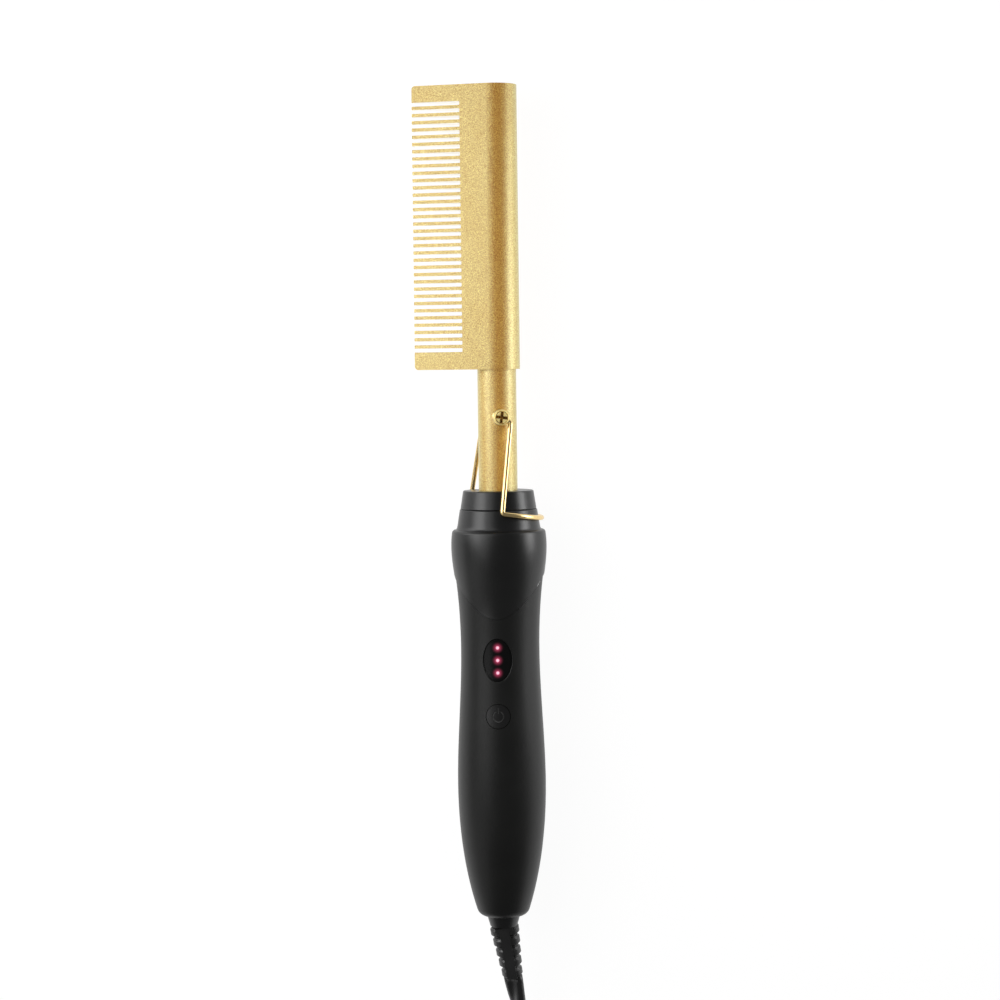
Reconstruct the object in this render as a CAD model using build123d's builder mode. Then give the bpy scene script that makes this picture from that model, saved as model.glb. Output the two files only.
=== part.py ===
from build123d import *
import math
import os

# Electric hot comb with a swing-out wire stand, in millimetres.
# +Y runs from the grip to the comb, -X is the side of the teeth and +Z the side of the button.
# The origin lies on the handle's axis, in the middle of the grip. The comb lies on its back,
# so that the bulb of the heat guard, the cord and the plug touch one level surface.

os.makedirs("parts", exist_ok=True)

# ---------------------------------------------------------------- driving dimensions

# Clearances
housing_gap = 0.1  # between pieces of the housing that are pushed together
running_gap = 0.08  # between a pin and the piece that turns or slides on it

# Grip: radii and places of the turned outline
grip_back = 94.4  # from the origin to the rear face
grip_end_radius = 8.75
grip_end_round = 3.4
grip_taper_radius = 14.2
grip_taper_y = -71.5
grip_palm_radius = 15.98
grip_palm_y = -46.5
grip_thumb_radius = 15.14
grip_thumb_y = -22.5
grip_waist_radius = 14.27
grip_waist_y = 4.0
grip_neck_radius = 15.3
grip_neck_y = 23.5
grip_shoulder_radius = 17.0
grip_shoulder_y = 36.0
grip_wall = 2.2
tail_wall = 9.0  # thick end wall that holds the swivel ball

# Heat guard: the bulb in front of the grip
guard_front = 45.7  # its flat front face
guard_tip_step = 0.6  # how far its lower edge stands proud of the grip, front and back
guard_side_step = 0.15  # and at the sides
guard_bulge_radius = 17.3
guard_bulge_y = 37.7
guard_front_radius = 16.85
guard_front_round = 1.2
guard_tip_y = 14.2  # lowest point of the shield-shaped edge
guard_curve_x = 9.2  # a point of that edge
guard_curve_y = 19.3
guard_side_x = 18.5  # where the edge meets the side
guard_side_y = 36.8
guard_seat_radius = 12.5  # bore that takes the two shells
guard_roof = 2.1
spigot_radius = 9.4
spigot_length = 1.7

# Collar: two steps between guard and tube
base_height = 7.4
base_foot_radius = 15.6  # the base flares out to this on the guard
base_flare_radius = 14.85  # where the flare begins
base_flare_height = 2.4
base_top_radius = 14.05
ring_height = 6.8
ring_low_radius = 13.85
ring_top_radius = 12.8
base_round = 0.35
ring_round = 0.5

# Neck tube and what the shells hold it with
tube_radius = 7.05
tube_wall = 0.8
tube_sunk = 29.9  # how deep it reaches behind the collar
flange_radius = 11.1
flange_thickness = 2.2
washer_thickness = 0.7
nose_bore = 10.5  # space in the front of the shells
neck_length = 44.0  # tube that shows between collar and comb

# Comb head
head_length = 103.3
spine_radius = 8.5
tip_reach = 29.7  # from the axis to the tips of the teeth
tip_thickness = 3.2
tip_flat = 0.8
head_corner = 1.3
slot_count = 35
slot_pitch = 2.63
slot_width = 1.4
slot_depth = 17.8
slot_corner = 0.3
slot_last_bar = 6.4  # plain bar between the neck and the first slot
head_spigot = 10.0
heater_bore = 5.0
heater_bore_end = 12.0  # solid metal left in front of the bore

# Heating parts
heater_width = 7.0
heater_thickness = 2.5
heater_length = 80.0
heater_inset = 2.1  # from the head's rear face to the heater
lead_radius = 0.8
lead_spread = 1.5
sensor_lead_radius = 0.5
sleeve_radius = 3.0
sleeve_wall = 0.35
fuse_radius = 1.35
fuse_length = 9.0

# Wire stand
wire_radius = 0.9
stand_drop = 34.3  # from the pivot to the foot
stand_clock = 12.5  # the front screw leans this many degrees towards the spine
stand_lean = 7.8  # folded legs lean this many degrees towards the teeth
pivot_from_head = 17.35
screw_shank = 1.3
screw_head_radius = 2.9
screw_head_height = 1.9
recess_width = 1.1
recess_length = 4.2
recess_depth = 1.1
recess_taper = 12.0
eye_height = 8.2  # wire centre above the tube's axis
leg_offset = 3.8
foot_radius = 15.7
elbow_radius = 1.0
foot_bend = 1.0
nut_radius = 2.7
nut_height = 2.1

# Window, lamps and button
window_y = -0.4
window_width = 10.2
window_length = 15.4
window_rim = 0.25  # rounding of the pocket's rim
window_ledge = 0.9
lens_sunk = 0.35
lens_thickness = 1.3
lamp_count = 3
lamp_pitch = 4.5
lamp_radius = 0.6
guide_width = 2.4
guide_foot = 0.7  # thickness of each of its two feet
button_y = -20.4
button_radius = 4.27
button_ring = 0.2
button_travel = 0.5
button_flange = 1.0
plunger_radius = 1.6
sign_radius = 2.1  # power sign: a ring with a gap and a bar
sign_line = 0.45
sign_gap = 1.5
sign_depth = 0.25

# Circuit board
board_low = 5.6
board_thickness = 1.6
board_width = 17.0
board_back = 58.0
board_front = 8.0
board_post_radius = 1.9
board_screw_radius = 0.9
board_screw_grip = 2.6  # thread past the board
board_screw_head_height = 1.1

# Parts on the board: place x, y of the middle, then width, length and height
chip_place = (3.5, -4.0)
chip_size = (3.9, 8.6, 1.5)
capacitor_place = (3.5, -21.0)
capacitor_size = (6.0, 13.0, 10.0)
capacitor_corner = 0.8
triac_place = (-3.2, -49.0)
triac_tab = (10.0, 9.0, 1.3)
triac_body = (10.0, 6.0, 4.4)
resistor_radius = 1.9
resistor_length = 11.0
resistor_x = -4.5
resistor_back = -26.0
resistor_round = 0.6
led_size = (1.25, 2.0, 0.8)
switch_side = 6.0
switch_height = 1.6
plunger_rise = 0.8  # how far the plunger stands out of the switch
plunger_sunk = 0.6  # and how far it reaches into it
button_stem = 0.8  # from the plunger to the button's flange

# Screws that join the shells
shell_screw_places = (-67.0, -37.0)
shell_screw_radius = 1.25
shell_screw_head = 2.5
shell_screw_head_height = 1.8
shell_screw_seat = 6.0  # from the joint plane to the seat of the head
shell_screw_reach = 6.0  # thread past the joint plane
shell_boss = 2.6
shell_socket = 3.8

# Cord swivel
ball_radius = 6.4
ball_sunk = 2.2  # ball centre inside the rear face
ball_droop = 6.0  # the ball's axis points this many degrees down
cup_start = 2.0
cup_end = 5.9
cup_end_radius = 5.0
boot_swing = 8.0  # the bent boot points this many degrees towards the spine
boot_droop = 12.0  # and this many degrees down
boot_ribs = 5
boot_pitch = 4.08
boot_width_start = 10.5
boot_width_end = 7.6
boot_depth = 7.2
rib_crest = 1.9
rib_flank = 0.7
core_inset = 1.0
boot_bar = 3.6  # width of the bar on the boot's front and back
bar_rise = 0.35
bar_cap_width = 6.4
bar_cap_length = 1.3
boot_spare = 1.0  # boot and cord are drawn this much too long where they meet, and then cut
spindle_radius = 2.6
spindle_length = 19.0
slip_ring_places = (12.0, 16.5)
slip_ring_radii = (3.6, 3.1)
slip_ring_width = 2.4
block_radius = 9.4
block_length = 10.0
block_bore = 4.1
brush_width = 1.6
brush_angles = (0.0, -130.0)  # where each brush lies round the ball's axis
brush_depth = 0.7  # how far a brush is let into the block
brush_tail = 0.8
supply_lead_x = 4.9

# Flat twin cord, shown as a round tube of the same section
cord_width = 7.0
cord_thickness = 3.6
hank_length = 130.0
hank_width = 54.0
hank_waist = 24.0
hank_height = 23.4
hank_round = 2.0
hank_x = -3.0
hank_near = -160.0
tie_width = 8.0
tie_thickness = 1.0
tie_round = 2.5  # inner corners of the tie

# Plug
plug_width = 24.0
plug_height = 13.0
plug_length = 21.0
plug_shoulder = 7.0
plug_round = 3.0
plug_relief = 10.0
plug_relief_radius = 4.2
blade_width = 6.3
blade_thickness = 1.5
blade_length = 17.0
blade_spacing = 12.7

# ---------------------------------------------------------------- places worked out

rest_z = -guard_bulge_radius
base_front = guard_front + base_height
ring_front = base_front + ring_height
head_back = ring_front + neck_length
head_front = head_back + head_length
pivot_y = head_back - pivot_from_head
tube_back = ring_front - tube_sunk
tube_bore = tube_radius - tube_wall
shell_front = guard_front - guard_roof - housing_gap
cord_radius = math.sqrt((cord_width * cord_thickness - (4 - math.pi) * (cord_thickness / 2) ** 2) / math.pi)
board_top = board_low + board_thickness
lens_inside = lens_sunk + lens_thickness


# ---------------------------------------------------------------- planes and sections


def across(y):
    """Plane across the handle at y, facing the comb."""
    return Plane(origin=(0, y, 0), x_dir=(1, 0, 0), z_dir=(0, 1, 0))


def disc(y, radius, hole=0.0):
    """Round section across the handle at y."""
    with BuildSketch(across(y)) as section:
        Circle(radius)
        if hole:
            Circle(hole, mode=Mode.SUBTRACT)
    return section.sketch


def spot(x, y, z, radius):
    """Round section in a level plane."""
    with BuildSketch(Plane.XY.offset(z)) as section:
        with Locations((x, y)):
            Circle(radius)
    return section.sketch


def grip_outline(inset=0.0):
    """Half of the grip's lengthwise section, moved inwards by inset."""
    with BuildSketch() as section:
        with BuildLine():
            side = Spline(
                (grip_end_radius - inset, -grip_back),
                (grip_taper_radius - inset, grip_taper_y),
                (grip_palm_radius - inset, grip_palm_y),
                (grip_thumb_radius - inset, grip_thumb_y),
                (grip_waist_radius - inset, grip_waist_y),
                (grip_neck_radius - inset, grip_neck_y),
                (grip_shoulder_radius - inset, grip_shoulder_y),
            )
            Polyline(side @ 1, (0, grip_shoulder_y), (0, -grip_back), side @ 0)
        make_face()
    return section.sketch


def guard_area(shift=0.0):
    """Area in front of the shield-shaped edge, as seen from the button side."""
    with BuildSketch() as section:
        with BuildLine():
            edge = Spline(
                (-guard_side_x, guard_side_y - shift),
                (-guard_curve_x, guard_curve_y - shift),
                (0, guard_tip_y - shift),
                (guard_curve_x, guard_curve_y - shift),
                (guard_side_x, guard_side_y - shift),
            )
            Polyline(edge @ 1, (guard_side_x, guard_front + 1), (-guard_side_x, guard_front + 1), edge @ 0)
        make_face()
    return section.sketch


def leaving_plane(origin, swing_degrees, droop_degrees):
    """Plane that faces out of the grip's rear, turned towards the spine and down."""
    swing = math.radians(swing_degrees)
    droop = math.radians(droop_degrees)
    return Plane(
        origin=origin,
        x_dir=(math.cos(swing), math.sin(swing), 0),
        z_dir=(
            math.sin(swing) * math.cos(droop),
            -math.cos(swing) * math.cos(droop),
            -math.sin(droop),
        ),
    )


# The ball's plane lies at its centre. The boot bends off from the end of the ball's cup.
ball_plane = leaving_plane((0, ball_sunk - grip_back, 0), 0, ball_droop)
boot_plane = leaving_plane(ball_plane.from_local_coords((0, 0, cup_end)), boot_swing, boot_droop)

# The stand's plane faces out along the front screw. Its y runs up the folded legs.
clock = math.radians(stand_clock)
lean = math.radians(stand_lean)
stand_plane = Plane(
    origin=(0, pivot_y, 0),
    x_dir=(
        math.cos(lean) * math.cos(clock),
        -math.sin(lean),
        -math.cos(lean) * math.sin(clock),
    ),
    z_dir=(math.sin(clock), 0, math.cos(clock)),
)


def pivot_disc(side, height, radius, hole=0.0):
    """Round section across a stand screw, on the front (1) or the back (-1)."""
    plane = Plane(
        origin=stand_plane.origin + stand_plane.z_dir * side * height,
        x_dir=stand_plane.x_dir,
        z_dir=stand_plane.z_dir * side,
    )
    with BuildSketch(plane) as section:
        Circle(radius)
        if hole:
            Circle(hole, mode=Mode.SUBTRACT)
    return section.sketch


def finish(piece, name):
    """Label a finished sub-part and write it."""
    piece.part.label = name
    export_step(piece.part, f"parts/{name}.step")


# ---------------------------------------------------------------- comb head

slots_middle = head_back + slot_last_bar + (slot_pitch * (slot_count - 1) + slot_width) / 2

with BuildPart() as comb_head:
    # Round spine and wedge in one section, drawn tight around the two.
    with BuildSketch(across(head_back)):
        Circle(spine_radius)
        with Locations((tip_flat / 2 - tip_reach, 0)):
            Rectangle(tip_flat, tip_thickness)
        make_hull()
    extrude(amount=head_length)
    tip_corners = comb_head.edges().filter_by(Axis.Z).group_by(Axis.X)[0]
    fillet(tip_corners, head_corner)
    # Teeth are what the saw cuts leave standing.
    with BuildSketch(Plane.XY):
        with Locations((-tip_reach, slots_middle)):
            with GridLocations(0, slot_pitch, 1, slot_count):
                RectangleRounded(2 * slot_depth, slot_width, slot_corner)
    extrude(amount=spine_radius, both=True, mode=Mode.SUBTRACT)
    # Spigot for the tube, and the bore for the heater.
    extrude(disc(head_back, tube_bore - housing_gap / 2), amount=-head_spigot)
    extrude(
        disc(head_back - head_spigot, heater_bore),
        amount=head_spigot + head_length - heater_bore_end,
        mode=Mode.SUBTRACT,
    )
finish(comb_head, "comb_head")

# ---------------------------------------------------------------- heating parts

heater_back = head_back + heater_inset

with BuildPart() as heater_element:
    with BuildSketch(across(heater_back)):
        RectangleRounded(heater_width, heater_thickness, 0.4)
    extrude(amount=heater_length)
finish(heater_element, "heater_element")

bead_radius = 0.95
sensor_z = bead_radius + running_gap - heater_bore + housing_gap

with BuildPart() as heater_clamps:
    extrude(disc(heater_back, heater_bore - housing_gap), amount=heater_length)
    with BuildSketch(across(heater_back)):
        Rectangle(3 * heater_bore, heater_thickness + 2 * housing_gap)
    extrude(amount=heater_length, mode=Mode.SUBTRACT)
    # Groove for the temperature sensor in the lower bar.
    with BuildSketch(across(heater_back)):
        with Locations((0, -sensor_z)):
            Circle(bead_radius + running_gap)
    extrude(amount=heater_length / 4, mode=Mode.SUBTRACT)
finish(heater_clamps, "heater_clamps")

board_wire_z = board_top - board_thickness / 2
lead_bend = 2.0

with BuildPart() as temperature_sensor:
    with BuildLine() as sensor_path:
        FilletPolyline(
            (0, heater_back + heater_length / 8, sensor_z),
            (0, head_back - head_spigot / 3, sensor_z),
            (0, head_back - head_spigot, -lead_spread),
            (0, board_front + 9, -lead_spread),
            (0, board_front + 3, board_wire_z),
            (0, board_front + housing_gap, board_wire_z),
            radius=lead_bend,
        )
    with BuildSketch(Plane(origin=sensor_path.line @ 0, z_dir=sensor_path.line % 0)):
        Circle(sensor_lead_radius)
    sweep()
    # Glass bead at the end.
    with BuildSketch(Plane(origin=sensor_path.line @ 0, z_dir=(0, 1, 0))):
        Circle(bead_radius)
    extrude(amount=2 * bead_radius)
finish(temperature_sensor, "temperature_sensor")

fuse_start = tube_back - fuse_length - 3


def heater_lead_path(x):
    """Route of one heater lead from the heater to the board."""
    with BuildLine() as path:
        FilletPolyline(
            (x, heater_back - housing_gap, 0),
            (x, fuse_start - 1.0, 0),
            (2 * x, board_front + 3, board_wire_z),
            (2 * x, board_front + housing_gap, board_wire_z),
            radius=lead_bend,
        )
    return path.line


def wire(path, radius):
    """Round wire along a path, as a plain solid."""
    with BuildSketch(Plane(origin=path @ 0, z_dir=path % 0)) as section:
        Circle(radius)
    return sweep(section.sketch, path)


with BuildPart() as heater_leads:
    for x in (-lead_spread, lead_spread):
        add(wire(heater_lead_path(x), lead_radius))
    # Break in one lead for the thermal fuse.
    with BuildSketch(across(fuse_start)):
        with Locations((lead_spread, 0)):
            Circle(fuse_radius)
    extrude(amount=fuse_length, mode=Mode.SUBTRACT)
finish(heater_leads, "heater_leads")

with BuildPart() as thermal_fuse:
    with BuildSketch(across(fuse_start + housing_gap)):
        with Locations((lead_spread, 0)):
            Circle(fuse_radius)
    extrude(amount=fuse_length - 2 * housing_gap)
    fillet(thermal_fuse.edges(), 0.4)
finish(thermal_fuse, "thermal_fuse")

with BuildPart() as lead_sleeve:
    sleeve_back = tube_back + 2
    extrude(
        disc(sleeve_back, sleeve_radius, sleeve_radius - sleeve_wall),
        amount=head_back - head_spigot - sleeve_back,
    )
finish(lead_sleeve, "lead_sleeve")

# ---------------------------------------------------------------- neck tube

with BuildPart() as neck_tube:
    extrude(disc(tube_back, tube_radius, tube_bore), amount=head_back - tube_back)
    for side in (1, -1):
        extrude(
            pivot_disc(side, 0, screw_shank + housing_gap / 2),
            amount=2 * tube_radius,
            mode=Mode.SUBTRACT,
        )
finish(neck_tube, "neck_tube")

with BuildPart() as tube_flange:
    extrude(
        disc(tube_back + housing_gap, flange_radius, tube_radius + housing_gap / 2),
        amount=flange_thickness,
    )
    chamfer(tube_flange.edges().filter_by(GeomType.CIRCLE).group_by(SortBy.RADIUS)[-1], 0.3)
finish(tube_flange, "tube_flange")

washer_back = tube_back + flange_thickness + 2 * housing_gap

with BuildPart() as heat_washer:
    extrude(
        disc(washer_back, flange_radius, tube_radius + 2 * housing_gap),
        amount=washer_thickness,
    )
finish(heat_washer, "heat_washer")

# ---------------------------------------------------------------- stand screws and nuts

screw_seat = eye_height + wire_radius + housing_gap
nut_top = math.sqrt(tube_bore**2 - nut_radius**2) - housing_gap / 2

with BuildPart() as stand_screws:
    for side in (1, -1):
        extrude(
            pivot_disc(side, nut_top - nut_height, screw_shank),
            amount=screw_seat - nut_top + nut_height,
        )
        head = extrude(pivot_disc(side, screw_seat, screw_head_radius), amount=screw_head_height)
        rim = head.edges().filter_by(GeomType.CIRCLE).sort_by(
            lambda edge, side=side: (edge.center() - stand_plane.origin).dot(stand_plane.z_dir) * side
        )[-1]
        fillet(rim, screw_head_height * 0.6)
        # Cross recess.
        top = Plane(
            origin=stand_plane.origin + stand_plane.z_dir * side * (screw_seat + screw_head_height),
            x_dir=stand_plane.x_dir,
            z_dir=stand_plane.z_dir * side,
        )
        with BuildSketch(top):
            Rectangle(recess_length, recess_width)
            Rectangle(recess_width, recess_length)
        extrude(amount=-recess_depth, taper=recess_taper, mode=Mode.SUBTRACT)
finish(stand_screws, "stand_screws")

with BuildPart() as pivot_nuts:
    for side in (1, -1):
        extrude(
            pivot_disc(side, nut_top - nut_height, nut_radius, screw_shank + housing_gap / 2),
            amount=nut_height,
        )
finish(pivot_nuts, "pivot_nuts")

# ---------------------------------------------------------------- wire stand

eye_radius = screw_shank + running_gap + wire_radius
eye_turn = 255.0
eye_exit = 300.0  # angle at which the wire leaves the eye for the elbow
exit_x = eye_radius * math.cos(math.radians(eye_exit))
exit_y = eye_radius * math.sin(math.radians(eye_exit))
elbow_y = exit_y + (leg_offset - exit_x) * exit_x / -exit_y
foot_centre_x = (foot_radius + stand_drop * math.sin(lean)) / math.cos(lean) - foot_radius


def leg_points(side):
    """Corners from an eye to the end of the foot's straight run, front (1) or back (-1)."""
    return (
        (side * exit_x, exit_y, side * eye_height),
        (side * leg_offset, elbow_y, side * eye_height),
        (side * leg_offset, -stand_drop, side * foot_radius),
        (foot_centre_x, -stand_drop, side * foot_radius),
    )


with BuildPart() as wire_stand:
    with BuildLine(stand_plane):
        front_eye = CenterArc((0, 0, eye_height), eye_radius, eye_exit - eye_turn, eye_turn)
        FilletPolyline(*leg_points(1), radius=(elbow_radius, foot_bend))
        ThreePointArc(
            (foot_centre_x, -stand_drop, foot_radius),
            (foot_centre_x + foot_radius, -stand_drop, 0),
            (foot_centre_x, -stand_drop, -foot_radius),
        )
        FilletPolyline(*leg_points(-1), radius=(elbow_radius, foot_bend))
        CenterArc((0, 0, -eye_height), eye_radius, 180 - eye_exit, eye_turn)
    with BuildSketch(Plane(origin=front_eye @ 0, z_dir=front_eye % 0)):
        Circle(wire_radius)
    sweep()
finish(wire_stand, "wire_stand")

# ---------------------------------------------------------------- collar


def outer_rim(piece, place):
    """Outer rim of a turned piece, at its rear (0) or front (-1) end."""
    return piece.edges().filter_by(GeomType.CIRCLE).group_by(Axis.Y)[place].sort_by(SortBy.RADIUS)[-1]


with BuildPart() as nose_base:
    bore = tube_radius + 2 * housing_gap
    flare_y = guard_front + base_flare_height
    with BuildSketch():
        with BuildLine():
            # The side runs down straight and flares out on to the guard.
            Line((base_top_radius, base_front), (base_flare_radius, flare_y))
            Spline(
                (base_flare_radius, flare_y),
                (base_foot_radius, guard_front),
                tangents=((base_flare_radius - base_top_radius, flare_y - base_front), (1, -1)),
            )
            Polyline(
                (base_foot_radius, guard_front),
                (bore, guard_front),
                (bore, base_front),
                (base_top_radius, base_front),
            )
        make_face()
    revolve(axis=Axis.Y)
    fillet(outer_rim(nose_base, -1), base_round)
    # Spigot into the guard and socket for the ring's own spigot.
    extrude(disc(guard_front, spigot_radius - housing_gap, bore), amount=-spigot_length)
    extrude(disc(base_front, spigot_radius + housing_gap), amount=-spigot_length, mode=Mode.SUBTRACT)
finish(nose_base, "nose_base")

with BuildPart() as nose_ring:
    with BuildSketch():
        with BuildLine():
            Polyline(
                (tube_radius + housing_gap, base_front),
                (ring_low_radius, base_front),
                (ring_top_radius, ring_front),
                (tube_radius + housing_gap, ring_front),
                close=True,
            )
        make_face()
    revolve(axis=Axis.Y)
    fillet(outer_rim(nose_ring, 0), base_round)
    fillet(outer_rim(nose_ring, -1), ring_round)
    extrude(
        disc(base_front, spigot_radius, tube_radius + housing_gap),
        amount=housing_gap - spigot_length,
    )
finish(nose_ring, "nose_ring")

# ---------------------------------------------------------------- heat guard

with BuildPart() as heat_guard:
    with BuildSketch():
        with BuildLine():
            bulb = Spline(
                (grip_waist_radius + guard_tip_step, guard_tip_y - 4),
                (grip_neck_radius + guard_side_step, grip_neck_y),
                (guard_bulge_radius, guard_bulge_y),
                (guard_front_radius, guard_front),
            )
            Polyline(bulb @ 1, (0, guard_front), (0, guard_tip_y - 4), bulb @ 0)
        make_face()
    revolve(axis=Axis.Y)
    front_rim = heat_guard.edges().filter_by(GeomType.CIRCLE).group_by(Axis.Y)[-1]
    fillet(front_rim, guard_front_round)
    # Bore for the shells, a smaller one for the collar's spigot.
    extrude(
        disc(guard_tip_y - 5, guard_seat_radius),
        amount=guard_front - guard_roof - guard_tip_y + 5,
        mode=Mode.SUBTRACT,
    )
    extrude(disc(guard_front, spigot_radius), amount=-2 * guard_roof, mode=Mode.SUBTRACT)
    # Shield-shaped lower edge, front and back.
    extrude(guard_area(), amount=2 * guard_bulge_radius, both=True, mode=Mode.INTERSECT)
finish(heat_guard, "heat_guard")

# ---------------------------------------------------------------- grip shells

groove_length = flange_thickness + washer_thickness + 3 * housing_gap
nose_wall = 2.6  # front wall of the shells, round the tube
board_posts = ((board_width / 2 - 3, 6 - board_back), (3 - board_width / 2, board_front - 3))
room_front = board_front + 2

# Space inside the two shells, with the bosses and posts left standing in it.
with BuildPart() as hollow:
    revolve(grip_outline(grip_wall), axis=Axis.Y)
    extrude(disc(tail_wall - grip_back, 2 * grip_palm_radius), amount=-2 * tail_wall, mode=Mode.SUBTRACT)
    extrude(disc(room_front, 2 * grip_palm_radius), amount=2 * guard_front, mode=Mode.SUBTRACT)
    # Round seat of the contact block.
    block_back = tail_wall - grip_back + 0.5
    extrude(disc(tail_wall - grip_back, 2 * grip_palm_radius), amount=block_length + 1, mode=Mode.SUBTRACT)
    extrude(disc(tail_wall - grip_back, block_radius + housing_gap), amount=block_length + 1)
    # Front bore, groove for the flange and hole for the tube.
    extrude(disc(room_front - 0.1, nose_bore), amount=shell_front - nose_wall - room_front)
    extrude(disc(tube_back, flange_radius + housing_gap), amount=groove_length)
    extrude(disc(tube_back, tube_radius + housing_gap), amount=guard_front - tube_back)
    for y in shell_screw_places:
        extrude(spot(0, y, -grip_palm_radius, shell_socket), amount=grip_palm_radius, mode=Mode.SUBTRACT)
        extrude(spot(0, y, 0, shell_boss), amount=grip_palm_radius, mode=Mode.SUBTRACT)
    for x, y in board_posts:
        extrude(spot(x, y, board_top, board_post_radius), amount=grip_palm_radius, mode=Mode.SUBTRACT)

# Room that the heat guard takes from the grip.
with BuildPart() as guard_room:
    extrude(guard_area(housing_gap), amount=2 * guard_bulge_radius, both=True)
    extrude(
        disc(0, guard_seat_radius - housing_gap),
        amount=2 * guard_front,
        mode=Mode.SUBTRACT,
    )

with BuildPart() as shells:
    revolve(grip_outline(), axis=Axis.Y)
    tail_rim = shells.edges().filter_by(GeomType.CIRCLE).group_by(Axis.Y)[0]
    fillet(tail_rim, grip_end_round)
    extrude(disc(guard_tip_y, guard_seat_radius - housing_gap), amount=shell_front - guard_tip_y)
    add(guard_room.part, mode=Mode.SUBTRACT)
    add(hollow.part, mode=Mode.SUBTRACT)
    # Seat of the swivel ball and the opening for its spindle.
    with Locations(ball_plane.origin):
        Sphere(ball_radius + housing_gap, mode=Mode.SUBTRACT)
    with BuildSketch(ball_plane):
        Circle(block_bore)
    extrude(amount=-tail_wall, mode=Mode.SUBTRACT)
    for y in shell_screw_places:
        extrude(spot(0, y, -shell_screw_reach, shell_screw_radius), amount=2 * shell_screw_reach + 1,
                mode=Mode.SUBTRACT)
        extrude(spot(0, y, -shell_screw_seat, shell_screw_head + 2 * housing_gap), amount=-grip_palm_radius,
                mode=Mode.SUBTRACT)
    for x, y in board_posts:
        extrude(spot(x, y, board_top, board_screw_radius), amount=3, mode=Mode.SUBTRACT)

# Pocket of the window: the full oval outside, a ledge inside.
with BuildPart() as window_pocket:
    with BuildSketch(Plane.XY):
        with Locations((0, window_y)):
            Ellipse(window_width / 2, window_length / 2)
    extrude(amount=2 * grip_palm_radius)
    add(revolve(grip_outline(lens_inside + housing_gap / 2), axis=Axis.Y, mode=Mode.PRIVATE),
        mode=Mode.SUBTRACT)
    with BuildSketch(Plane.XY.offset(board_top)):
        with Locations((0, window_y)):
            Ellipse(window_width / 2 - window_ledge, window_length / 2 - window_ledge)
    extrude(amount=grip_palm_radius)

with BuildPart() as front_shell:
    add(shells.part)
    split(bisect_by=Plane.XY, keep=Keep.TOP)
    add(window_pocket.part, mode=Mode.SUBTRACT)
    pocket_rim = front_shell.edges().filter_by_position(
        Axis.Y, window_y - window_length / 2, window_y + window_length / 2
    ).filter_by_position(Axis.X, -window_width / 2, window_width / 2).group_by(Axis.Z)[-1]
    fillet(pocket_rim, window_rim)
    extrude(spot(0, button_y, board_top, button_radius + button_ring), amount=grip_palm_radius,
            mode=Mode.SUBTRACT)
finish(front_shell, "front_shell")

with BuildPart() as rear_shell:
    add(shells.part)
    split(bisect_by=Plane.XY, keep=Keep.BOTTOM)
finish(rear_shell, "rear_shell")

with BuildPart() as shell_screws:
    for y in shell_screw_places:
        extrude(spot(0, y, -shell_screw_seat, shell_screw_radius - housing_gap / 2),
                amount=shell_screw_seat + shell_screw_reach - 0.5)
        extrude(spot(0, y, -shell_screw_seat, shell_screw_head), amount=-shell_screw_head_height)
finish(shell_screws, "shell_screws")

# ---------------------------------------------------------------- window and lamps

lamp_places = [window_y + lamp_pitch * (i - (lamp_count - 1) / 2) for i in range(lamp_count)]
guide_low = board_top + 1.0
guide_bar = 0.9
guide_end = lamp_pitch * lamp_count / 2

with BuildPart() as display_window:
    revolve(grip_outline(lens_sunk), axis=Axis.Y)
    add(revolve(grip_outline(lens_inside), axis=Axis.Y, mode=Mode.PRIVATE), mode=Mode.SUBTRACT)
    with BuildSketch():
        with Locations((0, window_y)):
            Ellipse(window_width / 2 - housing_gap, window_length / 2 - housing_gap)
    extrude(amount=2 * grip_palm_radius, mode=Mode.INTERSECT)
    for y in lamp_places:
        extrude(spot(0, y, 0, lamp_radius + housing_gap / 2), amount=2 * grip_palm_radius,
                mode=Mode.SUBTRACT)
finish(display_window, "display_window")

with BuildPart() as light_guide:
    # Bar on two feet, with one clear pin to each lamp hole.
    with BuildSketch(Plane.XY.offset(guide_low)):
        with Locations((0, window_y)):
            SlotOverall(2 * guide_end, guide_width, rotation=90)
    extrude(amount=guide_bar)
    with BuildSketch(Plane.XY.offset(board_top)):
        with Locations((0, window_y)):
            with GridLocations(0, 2 * (guide_end - guide_foot), 1, 2):
                Rectangle(guide_width / 2, guide_foot)
    extrude(amount=guide_low - board_top)
    for y in lamp_places:
        extrude(spot(0, y, guide_low, lamp_radius), amount=grip_waist_radius - lens_sunk - guide_low)
finish(light_guide, "light_guide")

with BuildPart() as indicator_leds:
    with BuildSketch(Plane.XY.offset(board_top)):
        with Locations((0, window_y)):
            with GridLocations(0, lamp_pitch, 1, lamp_count):
                Rectangle(*led_size[:2])
    extrude(amount=led_size[2])
finish(indicator_leds, "indicator_leds")

# ---------------------------------------------------------------- button and its switch

switch_top = board_top + switch_height
plunger_top = switch_top + plunger_rise
flange_low = plunger_top + button_stem
flange_radius_button = button_radius + button_flange

with BuildPart() as power_sign:
    with BuildSketch():
        with Locations((0, button_y)):
            Circle(sign_radius)
            Circle(sign_radius - sign_line, mode=Mode.SUBTRACT)
        with Locations((0, button_y + sign_radius)):
            Rectangle(sign_gap, 2 * sign_line, mode=Mode.SUBTRACT)
            Rectangle(sign_line, sign_radius)
    extrude(amount=2 * grip_palm_radius)
    add(revolve(grip_outline(housing_gap + sign_depth), axis=Axis.Y, mode=Mode.PRIVATE),
        mode=Mode.SUBTRACT)

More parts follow.
